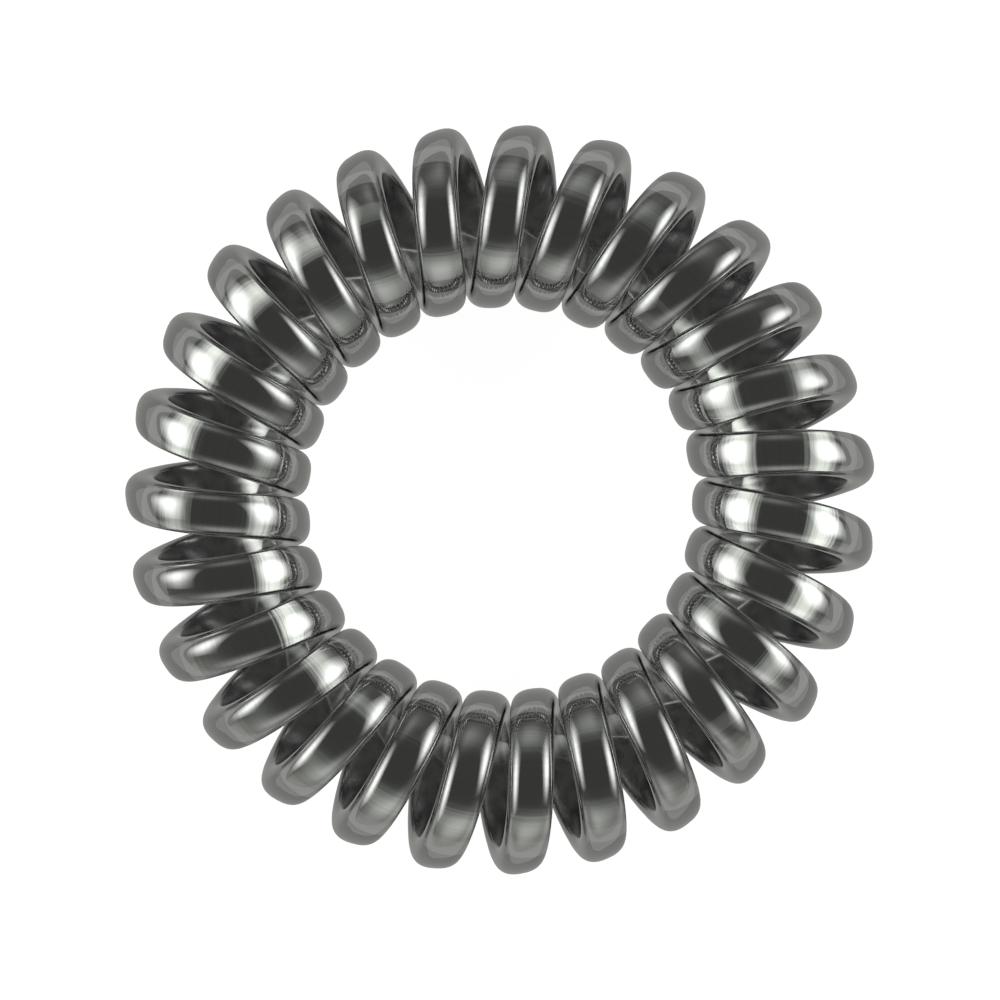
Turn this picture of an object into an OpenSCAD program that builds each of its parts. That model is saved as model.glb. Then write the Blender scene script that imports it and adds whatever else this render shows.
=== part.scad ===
// Spiral hair tie: one endless strand of springy plastic, wound into a coil
// that closes on itself as a ring. It lies flat, with its centre on the Z axis
// and its lowest points on the plane Z = 0.

/* [Ring] */
// Outer diameter of the tie, over the tips of its turns
ring_d = 36; // [32:0.5:60]
// Width of the coil, from its inner side to its outer side
coil_w = 8.8; // [7:0.1:11]
// Height of the coil as it lies flat
coil_h = 8.8; // [7:0.1:11]

/* [Strand] */
// Width of the strand, along the coil
strand_w = 2.16; // [1.2:0.02:3]
// Thickness of the strand, from the inside of the coil to its outside
strand_t = 1.73; // [1:0.01:2.2]
// Squareness of the strand's outer half: 2 is an ellipse, more is boxier
outer_squareness = 2.5; // [2:0.1:4]
// Squareness of the strand's inner half: 2 is an ellipse, more is boxier
inner_squareness = 2.6; // [2:0.1:4]

/* [Winding] */
// Gap between two turns, between their middles at the inner side of the coil
turn_gap = 0.17; // [0.1:0.01:1]
// Angle of the first outer tip from the X axis, in degrees
first_tip = 6.1; // [0:0.1:13]
// Lean of the strand about its own length at the coil's outer side, in degrees
outer_lean = 8; // [0:0.5:12]
// The same lean at the coil's inner side, in degrees
inner_lean = 3; // [0:0.5:12]

/* [Facets] */
// Corners of the strand's section
strand_sides = 12; // [8:4:12]
// Most triangles that the strand's surface is divided into
most_triangles = 12000; // [8000:1000:12000]

/* [Hidden] */

// Half sizes of the path that the strand's middle follows round the coil
path_r = (coil_w - strand_t) / 2;
path_z = (coil_h - strand_t) / 2;
// Radius of the ring along the coil's own middle
ring_r = (ring_d - coil_w) / 2;
// As many turns as fit round the inner side of the coil
turns = floor(2 * PI * (ring_r - path_r) / (strand_w + turn_gap));
// Rings of the mesh in a turn: a multiple of 4, so that some lie at the turn's tips
rings_per_turn = 4 * max(2, floor(most_triangles / (8 * strand_sides * turns)));
rings = turns * rings_per_turn;

// Makes a vector 1 long
function unit(v) = v / norm(v);

// One coordinate of a superellipse from the sine or cosine of its angle
function bulge(s, size, squareness) = size / 2 * sign(s) * pow(abs(s), 2 / squareness);

// Middle of the strand at angle a round the coil, where the coil is at angle b of the ring
function path_point(a, b) = let (r = ring_r + path_r * cos(a))
    [r * cos(b), r * sin(b), path_z * sin(a)];

// Direction in which the strand runs there
function path_way(a, b) = let (
        out = [cos(b), sin(b), 0],
        along = [-sin(b), cos(b), 0],
        up = [0, 0, 1],
        r = ring_r + path_r * cos(a)
    ) unit(r / turns * along - path_r * sin(a) * out + path_z * cos(a) * up);

// Direction there that points away from the coil's middle, square to the strand
function path_face(a, b) = let (
        way = path_way(a, b),
        away = [path_z * cos(a) * cos(b), path_z * cos(a) * sin(b), path_r * sin(a)]
    ) unit(away - (away * way) * way);

// Corners of the strand's section at one ring of the mesh
function ring_points(i) = let (
        a = 360 * i / rings_per_turn,
        b = first_tip + a / turns,
        lean = (outer_lean + inner_lean) / 2 + (outer_lean - inner_lean) / 2 * cos(a),
        face = path_face(a, b),
        side = cross(path_way(a, b), face),
        thick_way = face * cos(lean) + side * sin(lean),
        wide_way = side * cos(lean) - face * sin(lean)
    ) [for (k = [0:strand_sides - 1]) let (
        t = 360 * k / strand_sides,
        squareness = sin(t) > 0 ? outer_squareness : inner_squareness
    ) path_point(a, b)
        + wide_way * bulge(cos(t), strand_w, squareness)
        + thick_way * bulge(sin(t), strand_t, squareness)];

// Two triangles for each side of the strand, up to the next ring of the mesh
function ring_faces(i) = let (
        here = i * strand_sides,
        there = (i + 1) % rings * strand_sides
    ) [for (k = [0:strand_sides - 1], half = [0, 1]) let (m = (k + 1) % strand_sides)
        half == 0 ? [here + k, here + m, there + m] : [here + k, there + m, there + k]];

// The whole tie
module coil() {
    points = [for (i = [0:rings - 1]) each ring_points(i)];
    faces = [for (i = [0:rings - 1]) each ring_faces(i)];
    lowest = min([for (p = points) p.z]);
    color("dimgray") translate([0, 0, -lowest])
        polyhedron(points = points, faces = faces, convexity = 10);
}

coil();
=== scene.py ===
import bpy
import math
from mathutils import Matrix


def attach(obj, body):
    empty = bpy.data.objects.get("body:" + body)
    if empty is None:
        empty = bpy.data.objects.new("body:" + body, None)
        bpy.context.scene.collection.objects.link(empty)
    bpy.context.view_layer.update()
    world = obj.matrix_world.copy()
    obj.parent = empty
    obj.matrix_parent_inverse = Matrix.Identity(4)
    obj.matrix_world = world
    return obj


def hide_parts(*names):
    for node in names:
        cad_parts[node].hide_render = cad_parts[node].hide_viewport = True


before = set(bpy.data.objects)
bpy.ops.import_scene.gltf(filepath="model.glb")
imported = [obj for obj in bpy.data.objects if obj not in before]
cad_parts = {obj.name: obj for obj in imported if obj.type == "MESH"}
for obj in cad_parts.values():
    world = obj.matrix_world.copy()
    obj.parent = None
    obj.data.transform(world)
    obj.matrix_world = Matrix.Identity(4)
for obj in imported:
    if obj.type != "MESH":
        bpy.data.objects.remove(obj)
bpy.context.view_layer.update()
scene = bpy.context.scene
print("frame loaded:", ", ".join(sorted(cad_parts)))


def addNode(tree, kind, inputs=None, **settings):
    # inputs: a list for the first sockets, or a dictionary of socket names or numbers
    node = tree.nodes.new(kind)
    for name, value in settings.items():
        setattr(node, name, value)
    pairs = inputs.items() if isinstance(inputs, dict) else enumerate(inputs or [])
    for key, value in pairs:
        if isinstance(value, bpy.types.Node):
            value = value.outputs[0]
        if isinstance(value, bpy.types.NodeSocket):
            tree.links.new(value, node.inputs[key])
        elif value is not None:
            node.inputs[key].default_value = value
    return node


def hexColour(code):
    # sRGB hex to the linear colour that shaders work in
    parts = [int(code[i:i + 2], 16) / 255 for i in (1, 3, 5)]
    return [c / 12.92 if c <= 0.04045 else ((c + 0.055) / 1.055) ** 2.4 for c in parts] + [1]


# The coil: one endless strand wound round the ring. Metres and degrees.
coil = {
    "ringDiameter": 0.036,       # over the outer tips of the turns
    "coilWidth": 0.0088,         # inner side to outer side
    "coilHeight": 0.0088,
    "strandWidth": 0.00216,
    "strandThickness": 0.00173,
    "outerSquareness": 2.5,      # 2 is an ellipse, more is boxier
    "innerSquareness": 2.6,
    "outerLean": 8,              # the strand leans about its own length
    "innerLean": 3,
    "turns": 27,
    "firstTip": 6.1,             # angle of one outer tip from +X
    "ribbonSteepness": 1.2,      # slope of the ribbon under the skin, against the strand's
    "ribbonOut": 0.035,          # and how far it looks outwards at the top
    # Its turn along the ring at the top of the coil, and what the cosine of the angle round the
    # coil and that cosine squared add to it
    "ribbonTurn": (0.18, 0.05, -0.2),
    "ringsPerTurn": 96,
    "sides": 36,
}


def makeCoilTree():
    tree = bpy.data.node_groups.new("closedCoil", "GeometryNodeTree")
    tree.is_modifier = True
    for name in ("Ring Radius", "Path Radius", "Path Height", "Middle Height", "Strand Width",
                 "Strand Thickness", "Outer Squareness", "Inner Squareness", "Middle Lean",
                 "Lean Swing", "First Tip", "Ribbon Steepness", "Ribbon Out"):
        tree.interface.new_socket(name, in_out="INPUT", socket_type="NodeSocketFloat")
    tree.interface.new_socket("Ribbon Turn", in_out="INPUT", socket_type="NodeSocketVector")
    for name in ("Turns", "Rings per Turn", "Sides"):
        tree.interface.new_socket(name, in_out="INPUT", socket_type="NodeSocketInt")
    tree.interface.new_socket("Material", in_out="INPUT", socket_type="NodeSocketMaterial")
    tree.interface.new_socket("Geometry", in_out="OUTPUT", socket_type="NodeSocketGeometry")
    size = addNode(tree, "NodeGroupInput").outputs
    index = addNode(tree, "GeometryNodeInputIndex")

    # Angle round the coil and angle round the ring of each point of the path
    step = addNode(tree, "ShaderNodeMath", [math.tau, size["Rings per Turn"]], operation="DIVIDE")
    coilAngle = addNode(tree, "ShaderNodeMath", [index, step], operation="MULTIPLY")
    share = addNode(tree, "ShaderNodeMath", [coilAngle, size["Turns"]], operation="DIVIDE")
    ringAngle = addNode(tree, "ShaderNodeMath", [share, size["First Tip"]], operation="ADD")
    cosine = addNode(tree, "ShaderNodeMath", [coilAngle], operation="COSINE")
    sine = addNode(tree, "ShaderNodeMath", [coilAngle], operation="SINE")

    # The path's point and direction, with X outwards, Y along the ring and Z up
    radius = addNode(tree, "ShaderNodeMath", [size["Path Radius"], cosine, size["Ring Radius"]],
                     operation="MULTIPLY_ADD")
    height = addNode(tree, "ShaderNodeMath", [size["Path Height"], sine, size["Middle Height"]],
                     operation="MULTIPLY_ADD")
    point = addNode(tree, "ShaderNodeCombineXYZ", [radius, 0, height])
    outward = addNode(tree, "ShaderNodeMath", [size["Path Radius"], sine], operation="MULTIPLY")
    inward = addNode(tree, "ShaderNodeMath", [outward, -1], operation="MULTIPLY")
    onward = addNode(tree, "ShaderNodeMath", [radius, size["Turns"]], operation="DIVIDE")
    upward = addNode(tree, "ShaderNodeMath", [size["Path Height"], cosine], operation="MULTIPLY")
    way = addNode(tree, "ShaderNodeCombineXYZ", [inward, onward, upward])

    # The strand's broad face looks away from the coil's middle, and leans a little
    away = addNode(tree, "ShaderNodeCombineXYZ", [upward, 0, outward])
    alongWay = addNode(tree, "ShaderNodeVectorMath", [away, way], operation="PROJECT")
    square = addNode(tree, "ShaderNodeVectorMath", [away, alongWay], operation="SUBTRACT")
    lean = addNode(tree, "ShaderNodeMath", [size["Lean Swing"], cosine, size["Middle Lean"]],
                   operation="MULTIPLY_ADD")
    face = addNode(tree, "ShaderNodeVectorRotate", {"Vector": square, "Axis": way, "Angle": lean},
                   rotation_type="AXIS_ANGLE")
    placedPoint = addNode(tree, "ShaderNodeVectorRotate", {"Vector": point, "Angle": ringAngle},
                          rotation_type="Z_AXIS")
    placedFace = addNode(tree, "ShaderNodeVectorRotate", {"Vector": face, "Angle": ringAngle},
                         rotation_type="Z_AXIS")
    placedFace = addNode(tree, "ShaderNodeVectorMath", [placedFace], operation="NORMALIZE")

    # Where the flat ribbon under the skin faces: steeper than the strand, and turned a little
    ribbonTurn = addNode(tree, "ShaderNodeSeparateXYZ", [size["Ribbon Turn"]]).outputs
    ribbonOut = addNode(tree, "ShaderNodeMath",
                        [size["Ribbon Steepness"], cosine, size["Ribbon Out"]],
                        operation="MULTIPLY_ADD")
    ribbonAlong = addNode(tree, "ShaderNodeMath", [ribbonTurn["Z"], cosine, ribbonTurn["Y"]],
                          operation="MULTIPLY_ADD")
    ribbonAlong = addNode(tree, "ShaderNodeMath", [ribbonAlong, cosine, ribbonTurn["X"]],
                          operation="MULTIPLY_ADD")
    ribbon = addNode(tree, "ShaderNodeCombineXYZ", [ribbonOut, ribbonAlong, sine])
    placedRibbon = addNode(tree, "ShaderNodeVectorRotate", {"Vector": ribbon, "Angle": ringAngle},
                           rotation_type="Z_AXIS")
    placedRibbon = addNode(tree, "ShaderNodeVectorMath", [placedRibbon], operation="NORMALIZE")

    # Across the strand, towards the next turn of the ring
    across = addNode(tree, "ShaderNodeVectorMath", [way, face], operation="CROSS_PRODUCT")
    placedAcross = addNode(tree, "ShaderNodeVectorRotate", {"Vector": across, "Angle": ringAngle},
                           rotation_type="Z_AXIS")
    placedAcross = addNode(tree, "ShaderNodeVectorMath", [placedAcross], operation="NORMALIZE")

    # Place along the strand, on a circle, so that a pattern has no seam
    wholeAngle = addNode(tree, "ShaderNodeMath", [coilAngle, size["Turns"]], operation="DIVIDE")
    placeX = addNode(tree, "ShaderNodeMath", [wholeAngle], operation="COSINE")
    placeY = addNode(tree, "ShaderNodeMath", [wholeAngle], operation="SINE")
    place = addNode(tree, "ShaderNodeCombineXYZ", [placeX, placeY, 0])

    # The path itself, a closed curve
    pathPoints = addNode(tree, "ShaderNodeMath", [size["Turns"], size["Rings per Turn"]],
                         operation="MULTIPLY")
    circle = addNode(tree, "GeometryNodeCurvePrimitiveCircle", {"Resolution": pathPoints})
    path = addNode(tree, "GeometryNodeSetPosition", {"Geometry": circle, "Position": placedPoint})
    path = addNode(tree, "GeometryNodeSetCurveNormal", {"Curve": path, "Normal": placedFace},
                   mode="FREE")

    for name, value in (("ribbonFacing", placedRibbon), ("strandAcross", placedAcross),
                        ("strandPlace", place)):
        path = addNode(tree, "GeometryNodeStoreNamedAttribute",
                       {"Geometry": path, "Name": name, "Value": value},
                       data_type="FLOAT_VECTOR", domain="POINT")

    # The strand's section, a superellipse: x is its thickness and y its width
    corner = addNode(tree, "ShaderNodeMath", [math.tau, size["Sides"]], operation="DIVIDE")
    turn = addNode(tree, "ShaderNodeMath", [index, corner], operation="MULTIPLY")
    thickWave = addNode(tree, "ShaderNodeMath", [turn], operation="COSINE")
    wideWave = addNode(tree, "ShaderNodeMath", [turn], operation="SINE")
    isOuter = addNode(tree, "FunctionNodeCompare", [thickWave, 0.0], operation="GREATER_THAN")
    squareness = addNode(tree, "GeometryNodeSwitch", {
        "Switch": isOuter, "True": size["Outer Squareness"], "False": size["Inner Squareness"],
    }, input_type="FLOAT")
    power = addNode(tree, "ShaderNodeMath", [2.0, squareness], operation="DIVIDE")
    coordinates = []
    for wave, width in ((thickWave, size["Strand Thickness"]), (wideWave, size["Strand Width"])):
        plain = addNode(tree, "ShaderNodeMath", [wave], operation="ABSOLUTE")
        bulged = addNode(tree, "ShaderNodeMath", [plain, power], operation="POWER")
        sign = addNode(tree, "ShaderNodeMath", [wave], operation="SIGN")
        signed = addNode(tree, "ShaderNodeMath", [bulged, sign], operation="MULTIPLY")
        half = addNode(tree, "ShaderNodeMath", [width, 0.5], operation="MULTIPLY")
        coordinates.append(addNode(tree, "ShaderNodeMath", [signed, half], operation="MULTIPLY"))
    outline = addNode(tree, "ShaderNodeCombineXYZ", [*coordinates, 0])
    section = addNode(tree, "GeometryNodeCurvePrimitiveCircle", {"Resolution": size["Sides"]})
    section = addNode(tree, "GeometryNodeSetPosition", {"Geometry": section, "Position": outline})

    mesh = addNode(tree, "GeometryNodeCurveToMesh", {"Curve": path, "Profile Curve": section})
    mesh = addNode(tree, "GeometryNodeSetShadeSmooth", {"Geometry": mesh})
    mesh = addNode(tree, "GeometryNodeRealizeInstances", {"Geometry": mesh})
    mesh = addNode(tree, "GeometryNodeSetMaterial",
                   {"Geometry": mesh, "Material": size["Material"]})
    addNode(tree, "NodeGroupOutput", {"Geometry": mesh})
    return tree


def makeCoil(material):
    pathRadius = (coil["coilWidth"] - coil["strandThickness"]) / 2
    pathHeight = (coil["coilHeight"] - coil["strandThickness"]) / 2
    tree = makeCoilTree()
    values = {
        "Ring Radius": (coil["ringDiameter"] - coil["coilWidth"]) / 2,
        "Path Radius": pathRadius,
        "Path Height": pathHeight,
        "Middle Height": coil["coilHeight"] / 2,
        "Strand Width": coil["strandWidth"],
        "Strand Thickness": coil["strandThickness"],
        "Outer Squareness": coil["outerSquareness"],
        "Inner Squareness": coil["innerSquareness"],
        "Middle Lean": math.radians(coil["outerLean"] + coil["innerLean"]) / 2,
        "Lean Swing": math.radians(coil["outerLean"] - coil["innerLean"]) / 2,
        "First Tip": math.radians(coil["firstTip"]),
        "Ribbon Steepness": coil["ribbonSteepness"],
        "Ribbon Out": coil["ribbonOut"],
        "Ribbon Turn": coil["ribbonTurn"],
        "Turns": coil["turns"],
        "Rings per Turn": coil["ringsPerTurn"],
        "Sides": coil["sides"],
        "Material": material,
    }
    holder = bpy.data.objects.new("coilRule", bpy.data.meshes.new("coilRule"))
    scene.collection.objects.link(holder)
    modifier = holder.modifiers.new("closedCoil", "NODES")
    modifier.node_group = tree
    for socket in tree.interface.items_tree:
        if socket.in_out == "INPUT":
            modifier[socket.identifier] = values[socket.name]
    evaluated = holder.evaluated_get(bpy.context.evaluated_depsgraph_get())
    mesh = bpy.data.meshes.new_from_object(evaluated)
    bpy.data.objects.remove(holder)
    piece = bpy.data.objects.new("coiledStrand", mesh)
    scene.collection.objects.link(piece)
    return piece


# The finish: clear springy plastic over a dark metal film, drawn out as smooth as glass. The eye
# sees a sharp mirror image that follows the round strand, and over it a fainter, streaky one
# that doesn't, as from a flat ribbon in the strand. The coat draws that second image. The side
# of the strand towards the coil's middle is satin, and only glows softly in the gaps.
finish = {
    "colours": ("#908E91", "#989699"),  # what the film throws back straight on, by streak
    "roughness": (0.01, 0.02),   # nearly a mirror, a little hazier in the darker streaks
    "insideRoughness": 0.3,      # what the satin side adds to it
    "ribbonIor": 2.55,           # how strongly the ribbon mirrors
    "ribbonRoughness": 0.065,
    "ribbonShows": (0.3, 0.55),  # how alike it and the surface face where it begins to show, and
    "insideShows": (-0.5, -0.8),  # shows fully; and the same on the strand's other side
    "ribbonEdge": (0.86, 0.7),   # how far the surface may turn to one side and still show it
    "innerFlatness": 1.37,       # how much flatter it lies as seen from inside the coil
    "streak": 0.16,              # mm from one streak across the ribbon to the next
    "streaksFrom": (0.45, 0.8),  # how far the ribbon looks up where they begin, and are deepest
    "streakHeight": 0.009,       # mm
    "filmStreaks": (0.3, 0.7),   # part of the streaks' range that tints the film
    "strandLength": 607,         # mm, of the whole endless strand
}


def makeDarkMetallisedPlastic():
    material = bpy.data.materials.new("darkMetallisedPlastic")
    material.use_nodes = True
    tree = material.node_tree
    shader = tree.nodes["Principled BSDF"]
    shader.inputs["Metallic"].default_value = 1
    shader.inputs["Coat Weight"].default_value = 1
    shader.inputs["Coat IOR"].default_value = finish["ribbonIor"]
    shader.inputs["Coat Roughness"].default_value = finish["ribbonRoughness"]

    # The ribbon looks out of the strand's broad sides, and its narrow sides show none of it
    facing = addNode(tree, "ShaderNodeAttribute", attribute_name="ribbonFacing").outputs["Vector"]
    tilt = addNode(tree, "ShaderNodeSeparateXYZ", [facing]).outputs["Z"]
    surface = addNode(tree, "ShaderNodeNewGeometry").outputs["Normal"]
    agree = addNode(tree, "ShaderNodeVectorMath", [facing, surface],
                    operation="DOT_PRODUCT").outputs["Value"]
    across = addNode(tree, "ShaderNodeAttribute", attribute_name="strandAcross").outputs["Vector"]
    side = addNode(tree, "ShaderNodeVectorMath", [across, surface],
                   operation="DOT_PRODUCT").outputs["Value"]
    broad = addNode(tree, "ShaderNodeMapRange", [side, *finish["ribbonEdge"]],
                    interpolation_type="SMOOTHSTEP")
    outer = addNode(tree, "ShaderNodeMapRange", [agree, *finish["ribbonShows"]],
                    interpolation_type="SMOOTHSTEP")
    outer = addNode(tree, "ShaderNodeMath", [outer, broad], operation="MULTIPLY")
    inner = addNode(tree, "ShaderNodeMapRange", [agree, *finish["insideShows"]],
                    interpolation_type="SMOOTHSTEP")
    hidden = addNode(tree, "ShaderNodeMath", [1.0, outer], operation="SUBTRACT")
    hidden = addNode(tree, "ShaderNodeMath", [hidden, inner], operation="SUBTRACT")
    flatter = addNode(tree, "ShaderNodeVectorMath", [facing, (-1, -1, -finish["innerFlatness"])],
                      operation="MULTIPLY")
    seen = [addNode(tree, "ShaderNodeVectorMath", {0: way, "Scale": share}, operation="SCALE")
            for way, share in ((facing, outer), (flatter, inner), (surface, hidden))]
    facing = addNode(tree, "ShaderNodeVectorMath", seen[:2], operation="ADD")
    facing = addNode(tree, "ShaderNodeVectorMath", [facing, seen[2]], operation="ADD")
    facing = addNode(tree, "ShaderNodeVectorMath", [facing], operation="NORMALIZE")

    # Streaks straight across the ribbon, on the upper part of each turn
    upper = addNode(tree, "ShaderNodeMapRange", [tilt, *finish["streaksFrom"]])
    depth = addNode(tree, "ShaderNodeMath", [upper, outer], operation="MULTIPLY")
    place = addNode(tree, "ShaderNodeAttribute", attribute_name="strandPlace").outputs["Vector"]
    unit = finish["strandLength"] / math.tau    # mm along the strand for 1 in strandPlace
    streaks = addNode(tree, "ShaderNodeTexNoise",
                      {"Vector": place, "Scale": unit / finish["streak"], "Detail": 1})
    bump = addNode(tree, "ShaderNodeBump", {
        "Strength": depth, "Distance": finish["streakHeight"] / 1000,  # mm to m
        "Height": streaks, "Normal": facing})
    tree.links.new(bump.outputs[0], shader.inputs["Coat Normal"])

    # The same streaks, much fainter, in the film, and the satin on the strand's inner side
    share = addNode(tree, "ShaderNodeMapRange", [streaks, *finish["filmStreaks"]])
    dark, pale = (hexColour(code) for code in finish["colours"])
    colour = addNode(tree, "ShaderNodeMix", {0: share, 6: dark, 7: pale}, data_type="RGBA")
    tree.links.new(colour.outputs[2], shader.inputs["Base Color"])
    smooth, hazy = finish["roughness"]
    haze = addNode(tree, "ShaderNodeMapRange", [share, 0.0, 1.0, hazy, smooth])
    haze = addNode(tree, "ShaderNodeMath", [inner, finish["insideRoughness"], haze],
                   operation="MULTIPLY_ADD")
    tree.links.new(haze.outputs[0], shader.inputs["Roughness"])
    return material


strand = makeCoil(makeDarkMetallisedPlastic())
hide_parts("coil")
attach(strand, "root")
print("coil made:", len(strand.data.polygons), "faces")

# The studio, as the mirror finish sees it: a grey room with a dark ceiling, a softbox on the
# right and on the left, a soft glow in front and behind, and a pale table all round. Azimuths
# go round from +X and tilts up from the horizon. Heights are on a sphere 1 in radius.
room = {
    "cast": (0.965, 1.0, 0.9),   # slight green cast of the walls and the ceiling,
    "lightCast": (0.95, 1.0, 0.92),   # of the lights
    "tableCast": (0.98, 1.0, 0.94),   # and of the table
    "ceiling": 0.086,            # radiance straight above, behind the camera
    "walls": 0.14,
    "wallTop": (0.085, 0.95),    # heights between which the walls turn to ceiling
    "strip": 0.2,                # strip of wall just above the table
    "stripTop": 0.06,
    "frontAzimuth": 274,         # where the wall is paler
    "frontReach": (0.49, 0.59),  # cosines of the angles from there where it starts, and is whole
    "frontWall": 0.18,           # radiance that it adds low on the wall
    "frontTop": 0.69,
    "frontStrip": 0.25,          # and on the strip
    "tableEdge": -0.087,
    "table": 0.6,
    "mat": 0.33,                 # a darker square in the middle of the table
    "matReach": 1.7,             # half its side, as a share of the height above it
    "lightCut": 0.1,             # cosine past which a light is no longer drawn
    "backdrop": 0.9,             # plain and pale, where the camera looks past the floor
}

# Each light is drawn on a plane square to its middle, with lengths as shares of its distance.
# A light with sides is a softbox, with a glow that fades from its hot spot.
lights = {
    "right": dict(azimuth=13.7, tilt=28, strength=4.4, hotSpot=(-0.03, -0.04),
                  spread=(0.31, 0.23), falloff=1.15, fill=0.04,
                  sides=(-0.75, 0.59), lowHigh=(-0.44, 0.43), blur=0.05, lowBlur=0.012),
    "left": dict(azimuth=170.8, tilt=27.3, strength=4.3, hotSpot=(0.03, -0.02),
                 spread=(0.33, 0.23), falloff=1.05, fill=0.02,
                 sides=(-0.7, 0.7), lowHigh=(-0.48, 0.47), blur=0.05, lowBlur=0.012),
    "front": dict(azimuth=272.6, tilt=24.7, strength=0.8, hotSpot=(0, 0),
                  spread=(0.38, 0.22), falloff=1, fill=0),
    "back": dict(azimuth=93.5, tilt=27.7, strength=0.4, hotSpot=(0, 0),
                 spread=(0.26, 0.19), falloff=1, fill=0),
}


def axesOf(azimuth, tilt):
    # Unit vectors ahead, to one side and upwards, for something seen at that angle
    turn, rise = math.radians(azimuth), math.radians(tilt)
    outX, outY = math.cos(turn), math.sin(turn)
    return ((outX * math.cos(rise), outY * math.cos(rise), math.sin(rise)), (-outY, outX, 0),
            (-outX * math.sin(rise), -outY * math.sin(rise), math.cos(rise)))


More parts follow.
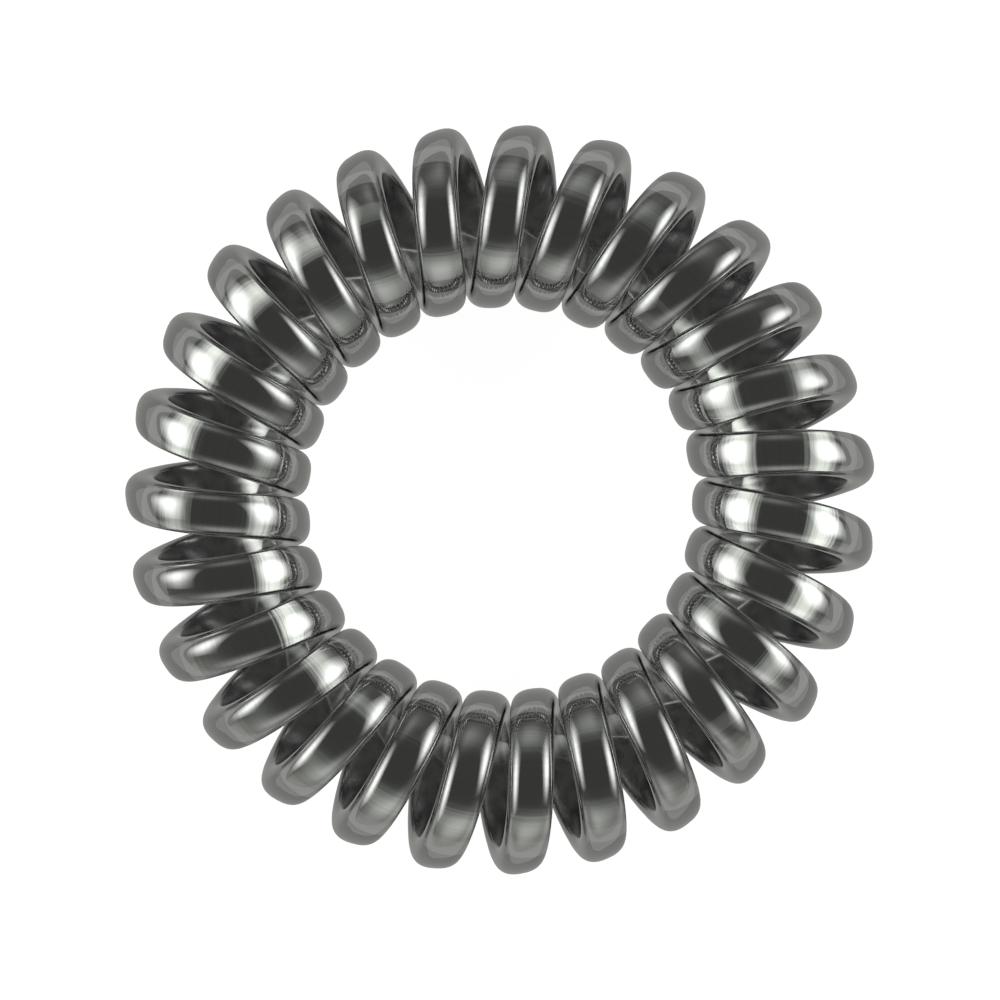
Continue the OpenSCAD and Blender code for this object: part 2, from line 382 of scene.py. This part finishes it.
def makeStudio():
    world = bpy.data.worlds.new("softStudio")
    scene.world = world
    world.use_nodes = True
    tree = world.node_tree
    direction = addNode(tree, "ShaderNodeTexCoord").outputs["Generated"]
    parts = addNode(tree, "ShaderNodeSeparateXYZ", [direction]).outputs
    up = parts["Z"]

    # Ceiling and walls, paler low in front
    front = addNode(tree, "ShaderNodeVectorMath", [direction, axesOf(room["frontAzimuth"], 0)[0]],
                    operation="DOT_PRODUCT").outputs["Value"]
    front = addNode(tree, "ShaderNodeMapRange", [front, *room["frontReach"]],
                    interpolation_type="SMOOTHSTEP")
    walls = addNode(tree, "ShaderNodeMapRange",
                    [up, *room["wallTop"], room["walls"], room["ceiling"]],
                    interpolation_type="SMOOTHSTEP")
    low = addNode(tree, "ShaderNodeMapRange", [up, 0.0, room["frontTop"], room["frontWall"], 0.0],
                  interpolation_type="SMOOTHSTEP")
    walls = addNode(tree, "ShaderNodeMath", [front, low, walls], operation="MULTIPLY_ADD")
    strip = addNode(tree, "ShaderNodeMath", [front, room["frontStrip"], room["strip"]],
                    operation="MULTIPLY_ADD")
    overStrip = addNode(tree, "ShaderNodeMath", [up, room["stripTop"]], operation="GREATER_THAN")
    walls = addNode(tree, "ShaderNodeMix", {"Factor": overStrip, "A": strip, "B": walls},
                    data_type="FLOAT")
    shown = addNode(tree, "ShaderNodeVectorMath", [walls, room["cast"]], operation="MULTIPLY")

    # Each light: a bell-shaped glow round its hot spot, flatter or sharper by its falloff
    for light in lights.values():
        ahead, aside, above = (
            addNode(tree, "ShaderNodeVectorMath", [direction, axis],
                    operation="DOT_PRODUCT").outputs["Value"]
            for axis in axesOf(light["azimuth"], light["tilt"]))
        places, squares = [], []
        for part, middle, spread in zip((aside, above), light["hotSpot"], light["spread"]):
            place = addNode(tree, "ShaderNodeMath", [part, ahead], operation="DIVIDE")
            offset = addNode(tree, "ShaderNodeMath", [place, middle], operation="SUBTRACT")
            offset = addNode(tree, "ShaderNodeMath", [offset, spread], operation="DIVIDE")
            places.append(place)
            squares.append(addNode(tree, "ShaderNodeMath", [offset, offset],
                                   operation="MULTIPLY"))
        fall = addNode(tree, "ShaderNodeMath", squares, operation="ADD")
        fall = addNode(tree, "ShaderNodeMath", [fall, light["falloff"]], operation="POWER")
        fall = addNode(tree, "ShaderNodeMath", [fall, -0.5], operation="MULTIPLY")
        glow = addNode(tree, "ShaderNodeMath", [fall], operation="EXPONENT")
        glow = addNode(tree, "ShaderNodeMath", [glow, light["strength"], light["fill"]],
                       operation="MULTIPLY_ADD")
        # It shows in front of its plane only, within a softbox's sides or above the strip
        masks = [addNode(tree, "ShaderNodeMath", [ahead, room["lightCut"]],
                         operation="GREATER_THAN")]
        if "sides" in light:
            blur = light["blur"]
            for place, edge, soft in ((places[0], light["sides"][0], blur),
                                      (places[0], light["sides"][1], -blur),
                                      (places[1], light["lowHigh"][0], light["lowBlur"]),
                                      (places[1], light["lowHigh"][1], -blur)):
                masks.append(addNode(tree, "ShaderNodeMapRange", [place, edge - soft, edge + soft],
                                     interpolation_type="SMOOTHSTEP"))
        else:
            masks.append(overStrip)
        for mask in masks:
            glow = addNode(tree, "ShaderNodeMath", [glow, mask], operation="MULTIPLY")
        shown = addNode(tree, "ShaderNodeVectorMath", [glow, room["lightCast"], shown],
                        operation="MULTIPLY_ADD")

    # Table: pale all round, with a darker square in the middle
    sides = [addNode(tree, "ShaderNodeMath", [parts[axis]], operation="ABSOLUTE")
             for axis in ("X", "Y")]
    reach = addNode(tree, "ShaderNodeMath", sides, operation="MAXIMUM")
    down = addNode(tree, "ShaderNodeMath", [up, -room["matReach"]], operation="MULTIPLY")
    onMat = addNode(tree, "ShaderNodeMath", [reach, down], operation="LESS_THAN")
    table = addNode(tree, "ShaderNodeMath", [onMat, room["mat"] - room["table"], room["table"]],
                    operation="MULTIPLY_ADD")
    table = addNode(tree, "ShaderNodeVectorMath", [table, room["tableCast"]],
                    operation="MULTIPLY")
    below = addNode(tree, "ShaderNodeMath", [up, room["tableEdge"]], operation="LESS_THAN")
    shown = addNode(tree, "ShaderNodeMix", {0: below, 6: shown, 7: table}, data_type="RGBA")

    # The camera itself sees a plain backdrop past the floor
    toCamera = addNode(tree, "ShaderNodeLightPath").outputs["Is Camera Ray"]
    backdrop = (room["backdrop"], room["backdrop"], room["backdrop"], 1)
    shown = addNode(tree, "ShaderNodeMix", {0: toCamera, 6: shown.outputs[2], 7: backdrop},
                    data_type="RGBA")
    tree.links.new(shown.outputs[2], tree.nodes["Background"].inputs["Color"])


makeStudio()

# The floor that the camera sees: a white light table, just bright enough to stay white
floor = {"reach": 1.5, "colour": "#898989", "roughness": 0.8, "glow": 0.95}


def makeFloor():
    mesh = bpy.data.meshes.new("paleFloor")
    far = floor["reach"]
    mesh.from_pydata([(-far, -far, 0), (far, -far, 0), (far, far, 0), (-far, far, 0)], [],
                     [(0, 1, 2, 3)])
    table = bpy.data.objects.new("paleFloor", mesh)
    scene.collection.objects.link(table)
    material = bpy.data.materials.new("paleLightTable")
    material.use_nodes = True
    shader = material.node_tree.nodes["Principled BSDF"]
    shader.inputs["Base Color"].default_value = hexColour(floor["colour"])
    shader.inputs["Roughness"].default_value = floor["roughness"]
    shader.inputs["Emission Color"].default_value = hexColour("#FFFFFF")
    shader.inputs["Emission Strength"].default_value = floor["glow"]
    mesh.materials.append(material)
    table.visible_glossy = False     # the strand mirrors the studio's own table instead
    table.visible_diffuse = False


makeFloor()

# Camera: straight above, framed as the photograph is
framing = {
    "distance": 0.283,           # above the middle of the coil's height
    "photoSide": 1000,           # pixels
    "tieAcross": 749.5,          # pixels over the outer tips
    "tieMiddle": (499.95, 498.98),  # pixel at the middle of the ring
}


def makeCamera():
    pixel = coil["ringDiameter"] / framing["tieAcross"]
    side = framing["photoSide"]
    camera = bpy.data.objects.new("camera", bpy.data.cameras.new("camera"))
    scene.collection.objects.link(camera)
    camera.data.lens = camera.data.sensor_width * framing["distance"] / (side * pixel)
    middle = (side - 1) / 2
    camera.location = (
        (middle - framing["tieMiddle"][0]) * pixel,
        (framing["tieMiddle"][1] - middle) * pixel,
        coil["coilHeight"] / 2 + framing["distance"],
    )
    scene.camera = camera


makeCamera()
scene.view_settings.view_transform = "Standard"
print("studio and camera made")
